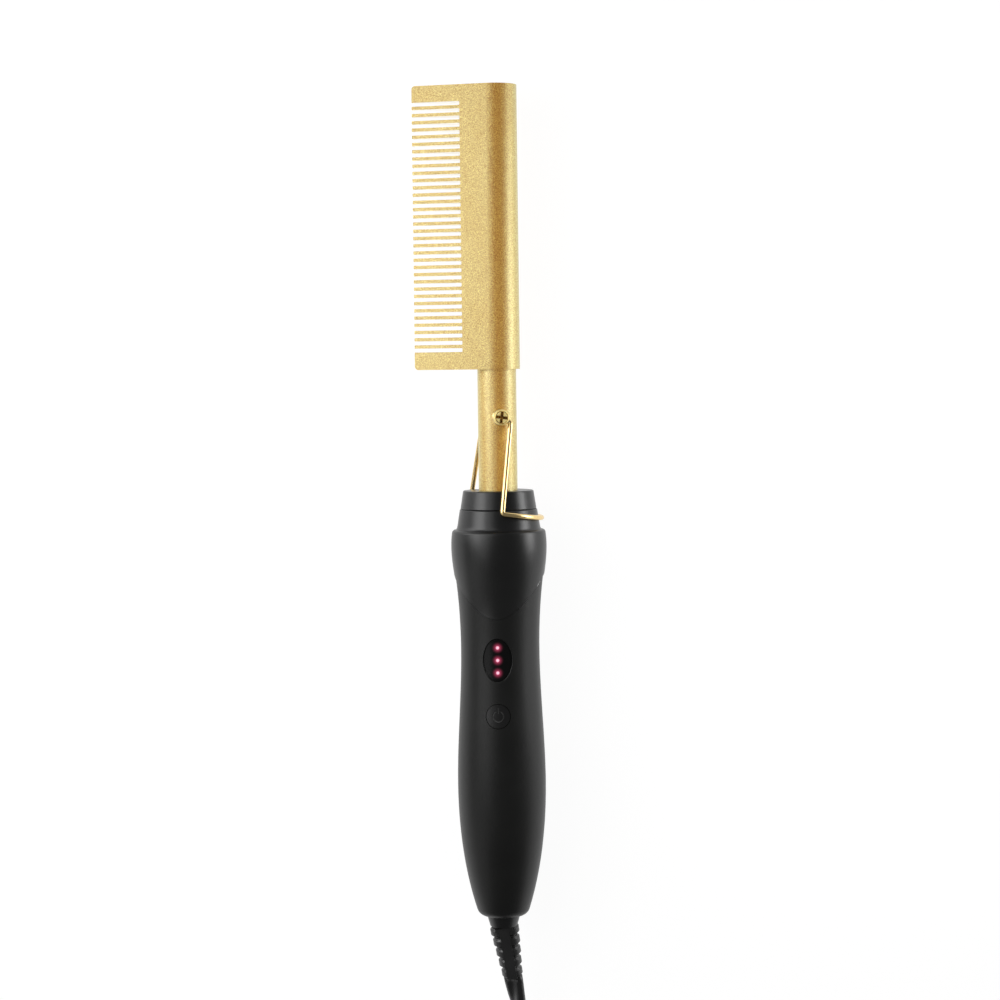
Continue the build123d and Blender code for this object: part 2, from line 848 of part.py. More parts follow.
with BuildPart() as power_button:
    extrude(spot(0, button_y, flange_low, button_radius), amount=grip_palm_radius)
    add(revolve(grip_outline(housing_gap), axis=Axis.Y, mode=Mode.PRIVATE), mode=Mode.INTERSECT)
    add(power_sign.part, mode=Mode.SUBTRACT)
    # Flange that keeps it behind the shell, and the stem that presses the switch.
    extrude(spot(0, button_y, flange_low, flange_radius_button), amount=button_flange)
    extrude(spot(0, button_y, plunger_top, plunger_radius), amount=flange_low - plunger_top)
finish(power_button, "power_button")

with BuildPart() as switch_plunger:
    extrude(spot(0, button_y, switch_top - plunger_sunk, plunger_radius), amount=plunger_rise + plunger_sunk)
finish(switch_plunger, "switch_plunger")

with BuildPart() as tact_switch:
    with BuildSketch(Plane.XY.offset(board_top)):
        with Locations((0, button_y)):
            RectangleRounded(switch_side, switch_side, 0.5)
    extrude(amount=switch_top - board_top)
    extrude(
        spot(0, button_y, switch_top, plunger_radius + running_gap),
        amount=-(plunger_sunk + button_travel + housing_gap),
        mode=Mode.SUBTRACT,
    )
finish(tact_switch, "tact_switch")

# ---------------------------------------------------------------- circuit board

board_middle = (board_front - board_back) / 2

with BuildPart() as circuit_board:
    with BuildSketch(Plane.XY.offset(board_low)):
        with Locations((0, board_middle)):
            RectangleRounded(board_width, board_back + board_front, 1.0)
        with Locations((0, shell_screw_places[1])):
            Circle(shell_boss + 3 * housing_gap, mode=Mode.SUBTRACT)
        with Locations(*board_posts):
            Circle(board_screw_radius + housing_gap, mode=Mode.SUBTRACT)
    extrude(amount=board_thickness)
finish(circuit_board, "circuit_board")

with BuildPart() as board_screws:
    for x, y in board_posts:
        extrude(spot(x, y, board_low, board_screw_radius - housing_gap / 2),
                amount=board_thickness + board_screw_grip)
        extrude(spot(x, y, board_low, 2 * board_screw_radius), amount=-board_screw_head_height)
finish(board_screws, "board_screws")


def under_board(place, size, corner=0.3):
    """Block of a width, length and height that hangs from the underside of the board."""
    with BuildSketch(Plane.XY.offset(board_low - size[2])) as section:
        with Locations(place):
            RectangleRounded(*size[:2], corner)
    extrude(section.sketch, amount=size[2])


with BuildPart() as control_chip:
    under_board(chip_place, chip_size)
finish(control_chip, "control_chip")

with BuildPart() as film_capacitor:
    under_board(capacitor_place, capacitor_size, capacitor_corner)
finish(film_capacitor, "film_capacitor")

with BuildPart() as dropper_resistor:
    with BuildSketch(across(resistor_back)):
        with Locations((resistor_x, resistor_radius - board_low)):
            Circle(resistor_radius)
    extrude(amount=resistor_length)
    fillet(dropper_resistor.edges(), resistor_round)
finish(dropper_resistor, "dropper_resistor")

with BuildPart() as triac:
    under_board(triac_place, triac_tab)
    body_shift = (triac_tab[1] - triac_body[1]) / 2
    under_board((triac_place[0], triac_place[1] + body_shift), triac_body)
finish(triac, "triac")

# ---------------------------------------------------------------- cord swivel


def ball_disc(distance, radius, hole=0.0):
    """Round section across the ball's own axis."""
    with BuildSketch(ball_plane.offset(distance)) as section:
        Circle(radius)
        if hole:
            Circle(hole, mode=Mode.SUBTRACT)
    return section.sketch


boot_length = boot_ribs * boot_pitch
boot_tip = boot_plane.from_local_coords((0, 0, boot_length))
tip_distance = ball_plane.to_local_coords(boot_tip).Z  # along the ball's axis

# Room that the boot turns in. It ends square to the ball's axis, and so do boot and cord.
with BuildPart() as boot_room:
    extrude(ball_disc(cup_end, 2 * boot_width_start), amount=tip_distance - cup_end)

with BuildPart() as swivel_ball:
    with Locations(ball_plane):
        Sphere(ball_radius)
    extrude(ball_disc(cup_start, 2 * ball_radius), amount=ball_radius, mode=Mode.SUBTRACT)
    # Cup that carries on where the ball leaves its seat.
    with BuildSketch(ball_plane.offset(cup_start)):
        Circle(math.sqrt(ball_radius**2 - cup_start**2))
    with BuildSketch(ball_plane.offset(cup_end)):
        Circle(cup_end_radius)
    loft()
    extrude(ball_disc(0, spindle_radius), amount=-spindle_length)
finish(swivel_ball, "swivel_ball")

with BuildPart() as slip_rings:
    for place, radius in zip(slip_ring_places, slip_ring_radii):
        extrude(
            ball_disc(slip_ring_width / 2 - place, radius, spindle_radius),
            amount=-slip_ring_width,
        )
finish(slip_rings, "slip_rings")

brush_reach = block_bore + brush_depth
block_front = block_back + block_length - ball_plane.origin.Y
brush_end = block_front / math.cos(math.radians(ball_droop)) + brush_tail


def brush_section(angle, low, high, gap=0.0):
    """Section of a brush, or of its groove with a gap, from radius low to high."""
    with BuildSketch(ball_plane) as section:
        with PolarLocations((low + high) / 2, 1, angle):
            Rectangle(high - low, brush_width + gap)
    return section.sketch


with BuildPart() as contact_block:
    extrude(disc(block_back, block_radius), amount=block_length)
    extrude(ball_disc(0, block_bore), amount=-2 * spindle_length, mode=Mode.SUBTRACT)
    # Grooves for the two brushes.
    for angle in brush_angles:
        groove = brush_section(angle, block_bore - brush_depth, brush_reach + housing_gap, housing_gap)
        extrude(groove, amount=-2 * spindle_length, mode=Mode.SUBTRACT)
finish(contact_block, "contact_block")

with BuildPart() as contact_brushes:
    for angle, place, radius in zip(brush_angles, slip_ring_places, slip_ring_radii):
        back = place - slip_ring_width / 2
        brush = brush_section(angle, radius + running_gap, brush_reach).moved(
            Location(ball_plane.z_dir * -back)
        )
        extrude(brush, amount=back - brush_end)
finish(contact_brushes, "contact_brushes")


def supply_lead_path(angle, side):
    """Route of a lead from a brush past the screw boss to the rear edge of the board."""
    along = block_bore * math.cos(math.radians(angle))
    up = block_bore * math.sin(math.radians(angle))
    x = side * supply_lead_x
    with BuildLine() as path:
        FilletPolyline(
            ball_plane.from_local_coords((along, up, -brush_end - housing_gap)),
            ball_plane.from_local_coords((along, up, -brush_end - 2 * lead_radius)),
            (x, shell_screw_places[0], board_wire_z),
            (x, -board_back - housing_gap, board_wire_z),
            radius=lead_bend,
        )
    return path.line


with BuildPart() as supply_leads:
    for angle, side in zip(brush_angles, (1, -1)):
        add(wire(supply_lead_path(angle, side), lead_radius))
finish(supply_leads, "supply_leads")


def boot_rib(place, width):
    """One rib across the boot's axis, with bevelled rims."""
    with BuildPart() as rib:
        with BuildSketch(boot_plane.offset(place)):
            SlotOverall(width, boot_depth)
        extrude(amount=rib_crest / 2 + rib_flank, both=True)
        chamfer(rib.edges().filter_by(boot_plane), rib_flank)
    return rib.part


with BuildPart() as strain_relief:
    # Slim core from inside the cup to the cord.
    with BuildSketch(boot_plane.offset(-core_inset)):
        SlotOverall(boot_width_start - 2 * core_inset, boot_depth - 2 * core_inset)
    with BuildSketch(boot_plane.offset(boot_length + boot_spare)):
        SlotOverall(boot_width_end - 2 * core_inset, boot_depth - 2 * core_inset)
    loft()
    for i in range(boot_ribs):
        share = i / (boot_ribs - 1)
        width = boot_width_start + share * (boot_width_end - boot_width_start)
        add(boot_rib((i + 0.5) * boot_pitch, width))
    # Raised bar that ties the ribs together, front and back, under a wider cap.
    with BuildSketch(boot_plane):
        Rectangle(boot_bar, boot_depth + 2 * bar_rise)
    extrude(amount=boot_length + boot_spare)
    with BuildSketch(boot_plane):
        Rectangle(bar_cap_width, boot_depth + 2 * bar_rise)
    extrude(amount=bar_cap_length)
    add(boot_room.part, mode=Mode.INTERSECT)
finish(strain_relief, "strain_relief")

# ---------------------------------------------------------------- cord


def run_radii(points):
    """Radius of the arc at each inner point: as large as its two runs allow."""
    radii = []
    for before, corner, after in zip(points, points[1:], points[2:]):
        first = Vector(corner) - Vector(before)
        second = Vector(after) - Vector(corner)
        half_turn = math.radians(first.get_angle(second)) / 2
        radii.append(0.45 * min(first.length, second.length) / math.tan(half_turn))
    return radii


def cord_tube(name, points, *stops):
    """Tube along straight runs and tangent arcs, cut back from what it runs into."""
    radii = run_radii(points)
    with BuildPart() as tube:
        with BuildLine() as path:
            FilletPolyline(*points, radius=radii)
        with BuildSketch(Plane(origin=path.line @ 0, z_dir=path.line % 0)):
            Circle(cord_radius)
        sweep()
        whole = tube.part.volume
        add(stops, mode=Mode.SUBTRACT)
    length = path.wires()[0].length
    expected = math.pi * cord_radius**2 * length
    print(name, "radii", [round(radius) for radius in radii], "length", round(length, 1),
          "volume over section times length", round(whole / expected, 4))
    return tube


cord_z = rest_z + cord_radius
hank_far = hank_near - hank_length
hank_middle = (hank_near + hank_far) / 2
tie_inside = (hank_waist - 2 * tie_thickness, hank_height - 2 * tie_thickness)

with BuildPart() as cord_hank:
    # Folded cord, drawn in at the waist by its tie.
    with BuildSketch(Plane.XY.offset(rest_z)):
        with BuildLine():
            Spline(
                (hank_x, hank_near),
                (hank_x + hank_width / 2, hank_near - hank_width / 2),
                (hank_x + hank_waist / 2, hank_middle),
                tangents=((1, 0), (0, -1)),
            )
            mirror(about=Plane.XZ.offset(-hank_middle))
            mirror(about=Plane.YZ.offset(hank_x))
        make_face()
    extrude(amount=hank_height)
    fillet(cord_hank.faces().sort_by(Axis.Z)[-1].edges(), hank_round)
    # Seat of the tie.
    with BuildSketch(across(hank_middle)):
        with Locations((hank_x, -rest_z - hank_height / 2)):
            Rectangle(hank_width, hank_height + 2)
            RectangleRounded(*tie_inside, tie_round, mode=Mode.SUBTRACT)
    extrude(amount=tie_width / 2, both=True, mode=Mode.SUBTRACT)
finish(cord_hank, "cord_hank")

with BuildPart() as cord_tie:
    with BuildSketch(across(hank_middle)):
        with Locations((hank_x, -rest_z - hank_height / 2)):
            RectangleRounded(hank_waist, hank_height, tie_round + tie_thickness)
            RectangleRounded(*tie_inside, tie_round, mode=Mode.SUBTRACT)
    extrude(amount=tie_width / 2 - housing_gap, both=True)
finish(cord_tie, "cord_tie")

# Route from the boot down to the surface and into the side of the hank.
cord_points = [
    tuple(boot_plane.from_local_coords((0, 0, boot_length - boot_spare))),
    tuple(boot_plane.from_local_coords((0, 0, boot_length + 13))),
    (8.5, -142.0, -11.6),
    (12.5, -155.5, cord_z),
    (16.5, -169.0, cord_z),
    (18.5, -182.0, cord_z),
]
power_cord = cord_tube("power_cord", cord_points, cord_hank.part, boot_room.part)
finish(power_cord, "power_cord")

# Route from the top of the hank to the plug.
plug_x = 10.0
plug_tail = -320.0
plug_z = rest_z + plug_height / 2
tail_points = [
    (15.0, -277.0, 0.2),
    (13.0, -290.0, -1.6),
    (10.6, -301.0, -7.2),
    (plug_x, plug_tail + 9.5, plug_z),
    (plug_x, plug_tail, plug_z),
]
cord_tail = cord_tube("cord_tail", tail_points, cord_hank.part)
finish(cord_tail, "cord_tail")

# ---------------------------------------------------------------- plug

plug_back = plug_tail - plug_relief
plug_front = plug_back - plug_length


def plug_plane(y):
    """Plane across the plug at y, facing the blades."""
    return Plane(origin=(plug_x, y, plug_z), x_dir=(1, 0, 0), z_dir=(0, -1, 0))


with BuildPart() as plug_body:
    with BuildSketch(plug_plane(plug_front)):
        RectangleRounded(plug_width, plug_height, plug_round)
    extrude(amount=plug_shoulder - plug_length)
    # Shoulders narrow towards the cord.
    with BuildSketch(plug_plane(plug_back - plug_shoulder)):
        RectangleRounded(plug_width, plug_height, plug_round)
    with BuildSketch(plug_plane(plug_back)):
        RectangleRounded(0.6 * plug_width, plug_height - 1, plug_round)
    loft()
    with BuildSketch(plug_plane(plug_back)):
        Circle(plug_relief_radius + 0.8)
    with BuildSketch(plug_plane(plug_tail)):
        Circle(plug_relief_radius - 0.8)
    loft()
finish(plug_body, "plug_body")

with BuildPart() as plug_blades:
    with BuildSketch(plug_plane(plug_front)):
        with GridLocations(blade_spacing, 0, 2, 1):
            Rectangle(blade_thickness, blade_width)
    extrude(amount=blade_length)
    tips = plug_blades.faces().group_by(Axis.Y)[0].edges().filter_by(Axis.Z)
    chamfer(tips, blade_thickness / 3)
    hole_y = plug_front - 0.78 * blade_length
    with BuildSketch(Plane(origin=(plug_x, hole_y, plug_z), z_dir=(1, 0, 0))):
        Circle(blade_width / 4)
    extrude(amount=blade_spacing, both=True, mode=Mode.SUBTRACT)
finish(plug_blades, "plug_blades")
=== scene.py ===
import math

import bpy
from mathutils import Matrix, Vector


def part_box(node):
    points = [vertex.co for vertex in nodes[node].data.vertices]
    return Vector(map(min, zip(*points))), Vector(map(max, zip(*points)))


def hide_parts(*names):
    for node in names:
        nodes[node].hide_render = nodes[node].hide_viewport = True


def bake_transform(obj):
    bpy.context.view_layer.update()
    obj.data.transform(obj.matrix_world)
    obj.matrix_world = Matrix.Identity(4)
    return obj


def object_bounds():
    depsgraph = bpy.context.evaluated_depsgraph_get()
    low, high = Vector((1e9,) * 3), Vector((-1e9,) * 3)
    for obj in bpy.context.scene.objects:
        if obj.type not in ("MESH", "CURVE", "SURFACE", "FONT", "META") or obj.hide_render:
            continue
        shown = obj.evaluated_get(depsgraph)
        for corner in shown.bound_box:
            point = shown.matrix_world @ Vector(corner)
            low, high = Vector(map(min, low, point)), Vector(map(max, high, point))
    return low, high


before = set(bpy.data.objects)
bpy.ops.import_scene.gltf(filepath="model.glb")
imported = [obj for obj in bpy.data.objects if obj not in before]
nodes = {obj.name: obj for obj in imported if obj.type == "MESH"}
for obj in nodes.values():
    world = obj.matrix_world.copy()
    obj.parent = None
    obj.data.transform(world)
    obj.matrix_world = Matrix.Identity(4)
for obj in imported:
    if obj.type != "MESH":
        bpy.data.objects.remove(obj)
cad_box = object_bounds()
floor_z = cad_box[0].z

# ---------------------------------------------------------------- camera

VIEW = 0.3636  # width of the picture at the handle's axis
DISTANCE = 0.93
AIM = Vector((0.0006, 0.0563, 0.0))
TURN = math.radians(4.0)  # towards the spine of the comb
ROLL = 0.0129  # the comb's end leans to the left
RAISED = 0.0517  # the lens stands this much nearer to the comb than the middle of the picture


def make_camera():
    data = bpy.data.cameras.new("camera")
    data.sensor_width = 36.0
    data.lens = 36.0 * DISTANCE / VIEW
    data.shift_y = -RAISED / VIEW
    camera = bpy.data.objects.new("camera", data)
    bpy.context.scene.collection.objects.link(camera)
    back = Vector((math.sin(TURN), 0, math.cos(TURN)))
    right = Vector((ROLL, 1, 0)).cross(back).normalized()
    up = back.cross(right)
    turn = Matrix((right, up, back)).transposed().to_4x4()
    camera.matrix_world = Matrix.Translation(AIM + back * DISTANCE + up * RAISED) @ turn
    bpy.context.scene.camera = camera


make_camera()

# ---------------------------------------------------------------- cord

CORD_WIDTH = 0.007
CORD_THICK = 0.0036
EDGE_Z = floor_z + CORD_WIDTH / 2 + 0.0001  # the cord stands on its narrow edge here
BALL = Vector((0, -0.0922, 0))
CUP_END = 0.0059
BOOT_LENGTH = 0.0204


def leaving(swing, droop):
    """Direction out of the grip's rear, turned towards the spine and down."""
    swing, droop = math.radians(swing), math.radians(droop)
    level = math.cos(droop)
    return Vector((math.sin(swing) * level, -math.cos(swing) * level, -math.sin(droop)))


BOOT = leaving(8, 12)
exit_point = BALL + leaving(0, 6) * CUP_END + BOOT * BOOT_LENGTH

HANK_X, HANK_Y = -0.003, -0.225
LOBE_Y = 0.038  # from the hank's middle to the middle of each end
COLUMNS = ((0.0252, 0.0092), (0.0215, 0.0055))  # outer and inner: end radius, half waist
COLUMN_OF_TURN = (0, 1, 1, 0, 1, 0)
LAYER_OF_TURN = (0, 0, 1, 1, 2, 2)
LAYER = 0.00705  # height of one layer of turns
WAIST_Y = 0.009
SPREAD = 0.93  # the curve cuts inside its control points by this
STATIONS = (70, 20, -30, "waist", "waist", 30, -20, -70)  # angles round each end, in degrees


def ramp(value, start, end):
    share = min(1.0, max(0.0, (value - start) / (end - start)))
    return share * share * (3 - 2 * share)


def part_way(start, end, share):
    return start + (end - start) * share


def hank_point(turn, station, side):
    """A control point of one turn: the right run goes to the plug's end, the left run comes back."""
    index = STATIONS.index(30) - 2 if station == "waist" else STATIONS.index(station)
    phase = (index + (8 if side < 0 else 0)) / 16
    after = min(turn + 1, len(COLUMN_OF_TURN) - 1)
    column = part_way(COLUMN_OF_TURN[turn], COLUMN_OF_TURN[after], ramp(phase, 0.72, 0.95))
    layer = part_way(LAYER_OF_TURN[turn], LAYER_OF_TURN[after], ramp(phase, 0.45, 0.7))
    radius = part_way(COLUMNS[0][0], COLUMNS[1][0], column)
    waist = part_way(COLUMNS[0][1], COLUMNS[1][1], column)
    loose = 0.0004 * math.sin(2.3 * turn + 1.7 * index)  # no two turns are quite alike
    return radius + loose, waist, EDGE_Z + LAYER * layer


def hank_turn(turn, first, last):
    """Control points of a turn, from one place in its round of 16 to another."""
    points = []
    for step in range(first, last):
        side = 1 if step < 8 else -1
        station = STATIONS[step % 8]
        radius, waist, z = hank_point(turn, station, side)
        if station == "waist":
            along = WAIST_Y if step % 8 == 3 else -WAIST_Y
            x, y = waist, along
        else:
            angle = math.radians(station)
            lobe = LOBE_Y if step % 8 < 4 else -LOBE_Y
            x = radius / SPREAD * math.cos(angle)
            y = lobe + radius / SPREAD * math.sin(angle)
        points.append(Vector((HANK_X + side * x, HANK_Y + side * y, z)))
    return points


route = [
    exit_point,
    exit_point + BOOT * 0.013,
    Vector((0.0085, -0.142, -0.0116)),
    Vector((0.0125, -0.1555, EDGE_Z)),
    Vector((0.0180, -0.169, EDGE_Z)),
    Vector((0.0225, -0.182, EDGE_Z)),
]
route += hank_turn(0, 2, 16)
for turn in (1, 2, 3, 4):
    route += hank_turn(turn, 0, 16)
route += hank_turn(5, 0, 6)
TOP_Z = route[-1].z
PLUG_X, PLUG_TAIL, PLUG_Z = 0.010, -0.320, floor_z + 0.0065
route += [
    Vector((0.0205, -0.268, TOP_Z)),
    Vector((0.0165, -0.280, TOP_Z - 0.0006)),
    Vector((0.0130, -0.2915, TOP_Z - 0.0034)),
    Vector((0.0106, -0.302, -0.0076)),
    Vector((PLUG_X, PLUG_TAIL + 0.0095, PLUG_Z)),
    Vector((PLUG_X, PLUG_TAIL, PLUG_Z)),
]


def line_of(points, name):
    """Points along the smooth curve that has these control points."""
    curve = bpy.data.curves.new(name, "CURVE")
    curve.dimensions = "3D"
    spline = curve.splines.new("NURBS")
    spline.points.add(len(points) - 1)
    for place, point in zip(spline.points, points):
        place.co = (*point, 1.0)
    spline.order_u = 3
    spline.use_endpoint_u = True
    spline.resolution_u = 10
    holder = bpy.data.objects.new(name, curve)
    bpy.context.scene.collection.objects.link(holder)
    bpy.context.view_layer.update()
    mesh = bpy.data.meshes.new_from_object(holder)
    line = [vertex.co.copy() for vertex in mesh.vertices]
    bpy.data.objects.remove(holder)
    bpy.data.meshes.remove(mesh)
    bpy.data.curves.remove(curve)
    return line


def twin_section():
    """Outline of two round cores side by side with a groove between them."""
    radius = CORD_THICK / 2
    offset = CORD_WIDTH / 2 - radius
    outline = []
    for side in (1, -1):
        for step in range(11):
            angle = math.radians(-125 + 25 * step)
            across, up = offset + radius * math.cos(angle), radius * math.sin(angle)
            outline.append((side * across, side * up))
    return outline


def twin_cord(name, line, angles):
    """Flat twin cord along a line; angles turns its wide side from level, in radians."""
    outline = twin_section()
    vertices, faces = [], []
    for i, (here, angle) in enumerate(zip(line, angles)):
        ahead = (line[min(i + 1, len(line) - 1)] - line[max(i - 1, 0)]).normalized()
        level = Vector((0, 0, 1)).cross(ahead).normalized()
        up = ahead.cross(level)
        wide = level * math.cos(angle) + up * math.sin(angle)
        thin = ahead.cross(wide)
        vertices += [here + wide * a + thin * b for a, b in outline]
    count = len(outline)
    for i in range(len(line) - 1):
        for j in range(count):
            k = (j + 1) % count
            faces.append((i * count + j, i * count + k, (i + 1) * count + k, (i + 1) * count + j))
    faces.append(tuple(range(count))[::-1])
    faces.append(tuple(range((len(line) - 1) * count, len(line) * count)))
    mesh = bpy.data.meshes.new(name)
    mesh.from_pydata(vertices, [], faces)
    mesh.update()
    for polygon in mesh.polygons:
        polygon.use_smooth = True
    piece = bpy.data.objects.new(name, mesh)
    bpy.context.scene.collection.objects.link(piece)
    return piece


cord_line = line_of(route, "cord_route")
places = [0.0]
for a, b in zip(cord_line, cord_line[1:]):
    places.append(places[-1] + (b - a).length)
cord_length = places[-1]
TWIST_IN, TWIST_OUT = 0.024, 0.040
cord_angles = []
for place in places:
    start = ramp(place, -0.006, TWIST_IN)
    end = ramp(cord_length - place, 0.004, TWIST_OUT)
    cord_angles.append(math.pi / 2 * min(start, end))
cord = twin_cord("flat_cord", cord_line, cord_angles)
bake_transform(cord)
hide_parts("power_cord", "cord_hank", "cord_tail")

# ---------------------------------------------------------------- materials


def shader(tree, kind, **inputs):
    """A node whose inputs are values, or sockets to link from."""
    made = tree.nodes.new("ShaderNode" + kind)
    for key, value in inputs.items():
        name = key.replace("_", " ")
        socket = made.inputs[name] if name in made.inputs else made.inputs[key]
        if isinstance(value, bpy.types.NodeSocket):
            tree.links.new(value, socket)
        else:
            socket.default_value = value
    return made


def blank(name):
    made = bpy.data.materials.new(name)
    made.use_nodes = True
    made.node_tree.nodes.clear()
    return made, made.node_tree


def finish(tree, look):
    end = shader(tree, "OutputMaterial")
    tree.links.new(look.outputs[0], end.inputs["Surface"])


def grain(tree, scale, detail=2.0, roughness=0.5):
    """Noise fixed to the piece, with scale in grains per metre."""
    place = shader(tree, "TexCoord")
    return shader(tree, "TexNoise", Vector=place.outputs["Object"], Scale=scale, Detail=detail,
                  Roughness=roughness).outputs["Fac"]


def between(tree, factor, dark, light, low=0.3, high=0.7):
    """Colour between two, as factor goes from low to high."""
    made = shader(tree, "ValToRGB", Fac=factor)
    made.color_ramp.elements[0].position = low
    made.color_ramp.elements[1].position = high
    made.color_ramp.elements[0].color = (*dark, 1)
    made.color_ramp.elements[1].color = (*light, 1)
    return made.outputs["Color"]


def within(tree, factor, low, high, start=0.0, end=1.0):
    """Number between two, as factor goes from start to end."""
    made = shader(tree, "MapRange", Value=factor)
    made.inputs["From Min"].default_value = start
    made.inputs["From Max"].default_value = end
    made.inputs["To Min"].default_value = low
    made.inputs["To Max"].default_value = high
    return made.outputs["Result"]


def surface(name, dark, light, rough, tone_scale=60, grain_scale=2500, bump=0.1, depth=0.0001,
            metallic=0.0, coat=0.0, coat_rough=0.3, sheen=0.0, specular=0.5):
    """Moulded, blasted or plated surface: colour drifts between two, roughness varies, fine grain."""
    made, tree = blank(name)
    tone = grain(tree, tone_scale, 3.0)
    fine = grain(tree, grain_scale, 3.0, 0.6)
    relief = shader(tree, "Bump", Strength=bump, Distance=depth, Height=fine)
    look = shader(
        tree, "BsdfPrincipled",
        Base_Color=between(tree, tone, dark, light),
        Roughness=within(tree, tone, *rough),
        Normal=relief.outputs["Normal"],
        Metallic=metallic,
    )
    look.inputs["Coat Weight"].default_value = coat
    look.inputs["Coat Roughness"].default_value = coat_rough
    look.inputs["Sheen Weight"].default_value = sheen
    look.inputs["Specular IOR Level"].default_value = specular
    finish(tree, look)
    return made


def maths(tree, operation, first, second=0):
    """Sum, product or comparison of two, each a number or a socket to link from."""
    made = tree.nodes.new("ShaderNodeMath")
    made.operation = operation
    for socket, value in zip(made.inputs, (first, second)):
        if isinstance(value, bpy.types.NodeSocket):
            tree.links.new(value, socket)
        else:
            socket.default_value = value
    return made.outputs[0]


def mix_of(tree, factor, first, second):
    """One shader over another, by a share that is linked."""
    made = shader(tree, "MixShader", Fac=factor)
    for socket, look in zip((made.inputs[1], made.inputs[2]), (first, second)):
        tree.links.new(look.outputs[0], socket)
    return made


def seen_from_front(tree, centre=0.0):
    """Place on the piece with its height left out, measured from centre along the handle."""
    place = shader(tree, "TexCoord").outputs["Object"]
    flat = shader(tree, "Mapping", Vector=place)
    flat.inputs["Location"].default_value = (0, -centre, 0)
    flat.inputs["Scale"].default_value = (1, 1, 0)
    return flat.outputs["Vector"]


def vector_maths(tree, operation, first, second=(0, 0, 0)):
    """Vector operation on a linked vector and a fixed one."""
    made = shader(tree, "VectorMath")
    made.operation = operation
    tree.links.new(first, made.inputs[0])
    made.inputs[1].default_value = second
    return made


def blend_of(tree, factor, first, second):
    """Colour between two colours, each a tuple or a socket to link from."""
    made = tree.nodes.new("ShaderNodeMix")
    made.data_type = "RGBA"
    tree.links.new(factor, made.inputs["Factor"])
    for socket, value in zip((made.inputs[6], made.inputs[7]), (first, second)):
        if isinstance(value, bpy.types.NodeSocket):
            tree.links.new(value, socket)
        else:
            socket.default_value = (*value, 1)
    return made.outputs[2]


def painted_reflection_slot_walls(tree):
    """1 on the sawn walls between the teeth, which get a painted reflection; 0 elsewhere on the head."""
    place = shader(tree, "TexCoord")
    normal = shader(tree, "SeparateXYZ", Vector=place.outputs["Normal"])
    here = shader(tree, "SeparateXYZ", Vector=place.outputs["Object"])
    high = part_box("comb_head")[1]
    facing = maths(tree, "GREATER_THAN", maths(tree, "ABSOLUTE", normal.outputs["Y"]), 0.6)
    within_teeth = maths(tree, "LESS_THAN", here.outputs["X"], TEETH_X)
    below_end = maths(tree, "LESS_THAN", here.outputs["Y"], high.y - WALL_MARGIN)
    above_back = maths(tree, "GREATER_THAN", here.outputs["Y"], HEAD_BACK + WALL_MARGIN)
    walls = maths(tree, "MULTIPLY", facing, within_teeth)
    return maths(tree, "MULTIPLY", walls, maths(tree, "MULTIPLY", below_end, above_back))


def recess(tree):
    """1 inside the cross recess of the front stand screw and of the back one, 0 elsewhere: where the
    screw gets painted shade.
    """
    place = shader(tree, "TexCoord").outputs["Object"]
    from_pivot = vector_maths(tree, "SUBTRACT", place, PIVOT).outputs["Vector"]
    axis = (math.sin(SCREW_CLOCK), 0, math.cos(SCREW_CLOCK))
    along = vector_maths(tree, "DOT_PRODUCT", from_pivot, axis).outputs["Value"]
    height = maths(tree, "ABSOLUTE", along)
    whole = vector_maths(tree, "LENGTH", from_pivot).outputs["Value"]
    squares = [maths(tree, "POWER", value, 2) for value in (whole, height)]
    radius = maths(tree, "SQRT", maths(tree, "SUBTRACT", *squares))
    inside = maths(tree, "LESS_THAN", radius, RECESS_RADIUS)
    return maths(tree, "MULTIPLY", inside, maths(tree, "LESS_THAN", height, HEAD_TOP))


def screw_gold(name):
    """Plated screw with a rough recess painted dark brown, as painted shade."""
    made, tree = blank(name)
    deep = recess(tree)
    specks = grain(tree, 1700, 3.0, 0.7)
    bright = between(tree, specks, (0.96, 0.72, 0.26), (1.0, 0.97, 0.58), 0.35, 0.65)
    # painted shade: dark brown inside the cross recess, where shade falls
    painted_shade_brown = between(tree, specks, (0.10, 0.03, 0.004), (0.90, 0.60, 0.18), 0.42, 0.58)
    height = maths(tree, "MULTIPLY", specks, deep)
    relief = shader(tree, "Bump", Strength=0.8, Distance=0.0003, Height=height)
    look = shader(
        tree, "BsdfPrincipled",
        Base_Color=blend_of(tree, deep, bright, painted_shade_brown),
        Roughness=within(tree, deep, 0.80, 1.0),
        Normal=relief.outputs["Normal"],
        Metallic=1.0,
    )
    finish(tree, look)
    return made


